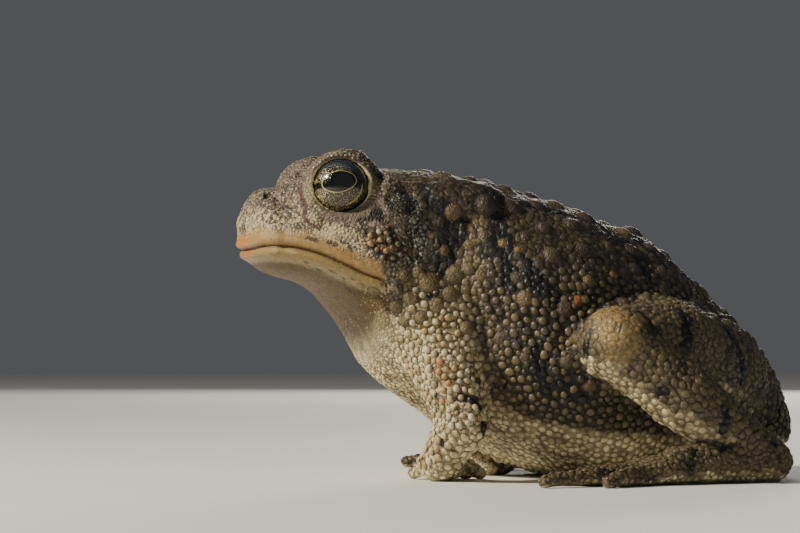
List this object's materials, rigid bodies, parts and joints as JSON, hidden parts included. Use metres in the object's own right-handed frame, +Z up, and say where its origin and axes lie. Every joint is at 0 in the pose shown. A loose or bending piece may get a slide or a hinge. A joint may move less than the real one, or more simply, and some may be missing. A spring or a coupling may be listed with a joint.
{
  "type": "american toad",
  "caption": "Life-size warty toad sitting with its head raised and its forefeet turned in, a still museum model.",
  "frame": {"origin": "centre of the toad's bounding box seen from above, on the floor it sits on", "axes": "+Z up, -X the way the toad faces, its left side at -Y"},
  "size_m": [0.0862, 0.0804, 0.0485],
  "materials": {
    "skin_tan": "dry warty skin, tan with dark blotches",
    "skin_pale": "dry granular skin, cream",
    "skin_dark": "dry skin, dark brown-grey",
    "eye": "wet gloss, black and gold"
  },
  "bodies": {
    "root": {"ear_left": "skin_dark", "ear_right": "skin_dark", "eye_left": "eye", "eye_right": "eye", "foot_left": "skin_tan", "foot_right": "skin_tan", "forearm_left": "skin_tan", "forearm_right": "skin_tan", "hand_left": "skin_tan", "hand_right": "skin_tan", "head": "skin_tan", "lower_jaw": "skin_pale", "parotoid_left": "skin_dark", "parotoid_right": "skin_dark", "shank_left": "skin_tan", "shank_right": "skin_tan", "tarsus_left": "skin_tan", "tarsus_right": "skin_tan", "thigh_left": "skin_tan", "thigh_right": "skin_tan", "torso": "skin_tan", "upper_arm_left": "skin_tan", "upper_arm_right": "skin_tan"}
  },
  "joints": []
}
